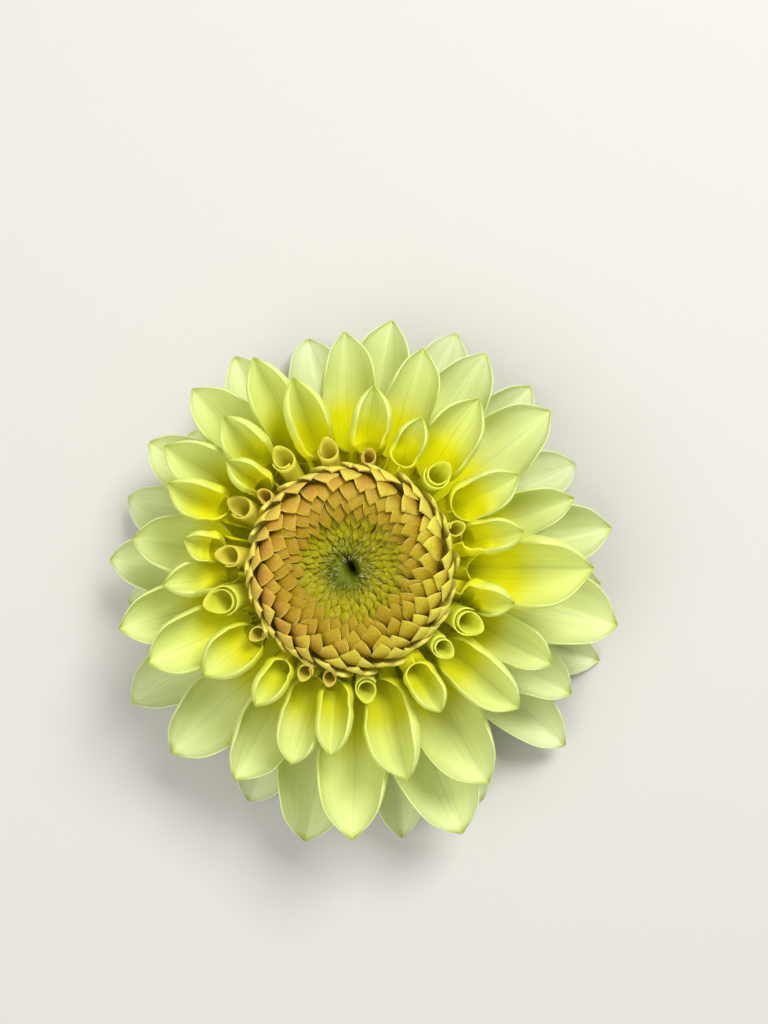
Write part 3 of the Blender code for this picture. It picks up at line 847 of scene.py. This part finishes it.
grow_row("hidden", HIDDEN_LEVEL, HIDDEN_FLORETS, petal_skin, replaced=False)
grow_row("lowest", LOWEST_LEVEL, LOWEST_FLORETS, petal_skin)


# Outer bracts. Five thick, leaf-like green bracts at the top of the stem, bent back towards it.
# Each has a sunken midrib and a matt, finely netted skin.

BRACT_START, BRACT_TIP = (3.7, 4.8), (20.0, 2.2)
BRACT_LAUNCH, BRACT_ARRIVE = 8.0, -22.0
BRACTS, BRACT_WALL, BRACT_SEED = 5, 0.55, 800
bract_skin = green_skin("leafy_bract_skin", "#4f7a24", "#7ba046", 0.9, 0.55)
for place in range(BRACTS):
    rng = np.random.default_rng(BRACT_SEED + place)
    turn = np.radians(20.0 + 360.0 / BRACTS * place + rng.uniform(-3.0, 3.0))
    u = np.linspace(0.0, 1.0, 26)[:, None]
    v = np.linspace(-1.0, 1.0, 17)[None, :]
    rib, inward = midrib(BRACT_START, BRACT_LAUNCH, BRACT_TIP, BRACT_ARRIVE, u)
    half = 1.95 + 1.3 * ease(u / 0.6)
    half = half * (1.0 - np.clip((u - 0.6) / 0.4, 0.0, 1.0) ** 2.2) + 0.15
    rise = 0.7 * v**2 * ease(3.0 * u) - 0.18 * np.exp(-((v / 0.12) ** 2))
    rise = rise + 0.1 * np.sin(9.0 * u + 2.0 * v)
    radius = rib[:, :1] + inward[:, :1] * rise
    x = radius * np.sin(turn) - half * v * np.cos(turn)
    y = radius * np.cos(turn) + half * v * np.sin(turn)
    z = np.broadcast_to(rib[:, 1:] + inward[:, 1:] * rise, x.shape)
    leaf = np.stack((x, y, z), axis=-1)
    name = f"outer_bract_leaf_{place + 1}"
    piece = grown(name, leaf[None], "outer_bract", bract_skin, wall=BRACT_WALL)
    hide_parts(f"outer_bract_{place + 1}")


# Studio. A plain pale floor, a soft key light from the far right, a wide soft fill from the left
# and a camera that looks straight down. Lengths here are in metres, but the view's middle is in
# millimetres from the flower's axis. The view is VIEW_WIDTH wide, VIEW_DISTANCE below the camera.

FLOOR_HALF = 2.0
CAMERA_HEIGHT = 0.33
VIEW_MIDDLE = (6.51, 11.25)
VIEW_WIDTH, VIEW_DISTANCE = 0.16727, 0.32
AIR_STRENGTH = 0.52
floor_mesh = bpy.data.meshes.new("floor")
floor_mesh.from_pydata(
    [(x * FLOOR_HALF, y * FLOOR_HALF, 0.0) for x, y in ((-1, -1), (1, -1), (1, 1), (-1, 1))],
    [],
    [(0, 1, 2, 3)],
)
floor_paint = bpy.data.materials.new("matt_floor_paint")
floor_paint.use_nodes = True
floor_shader = floor_paint.node_tree.nodes["Principled BSDF"]
floor_shader.inputs["Base Color"].default_value = linear("#bcb9b3")
floor_shader.inputs["Roughness"].default_value = 0.8
floor_mesh.materials.append(floor_paint)
floor = bpy.data.objects.new("floor", floor_mesh)
bpy.context.scene.collection.objects.link(floor)


def soft_light(name, place, size, watts):
    """A square area light at place, in metres, turned towards the flower."""
    data = bpy.data.lights.new(name, "AREA")
    data.size = size
    data.energy = watts
    light = bpy.data.objects.new(name, data)
    light.location = place
    towards = Vector((0.0, 0.0, 0.02)) - Vector(place)
    light.rotation_euler = towards.to_track_quat("-Z", "Y").to_euler()
    bpy.context.scene.collection.objects.link(light)


soft_light("key_light", (0.3, 0.46, 0.74), 0.36, 8.6)
soft_light("fill_light", (-0.4, -0.2, 0.8), 0.7, 4.4)
world = bpy.data.worlds.new("studio_air")
world.use_nodes = True
world.node_tree.nodes["Background"].inputs["Color"].default_value = (1.0, 1.0, 1.0, 1.0)
world.node_tree.nodes["Background"].inputs["Strength"].default_value = AIR_STRENGTH
bpy.context.scene.world = world
bpy.context.scene.view_settings.view_transform = "Standard"

camera_data = bpy.data.cameras.new("camera")
camera_data.sensor_fit = "HORIZONTAL"
camera_data.sensor_width = 36.0
camera_data.lens = camera_data.sensor_width * VIEW_DISTANCE / VIEW_WIDTH
camera = bpy.data.objects.new("camera", camera_data)
view_x, view_y = (SEAT[k] + VIEW_MIDDLE[k] * MM for k in (0, 1))
camera.location = (view_x, view_y, CAMERA_HEIGHT)
bpy.context.scene.collection.objects.link(camera)
bpy.context.scene.camera = camera
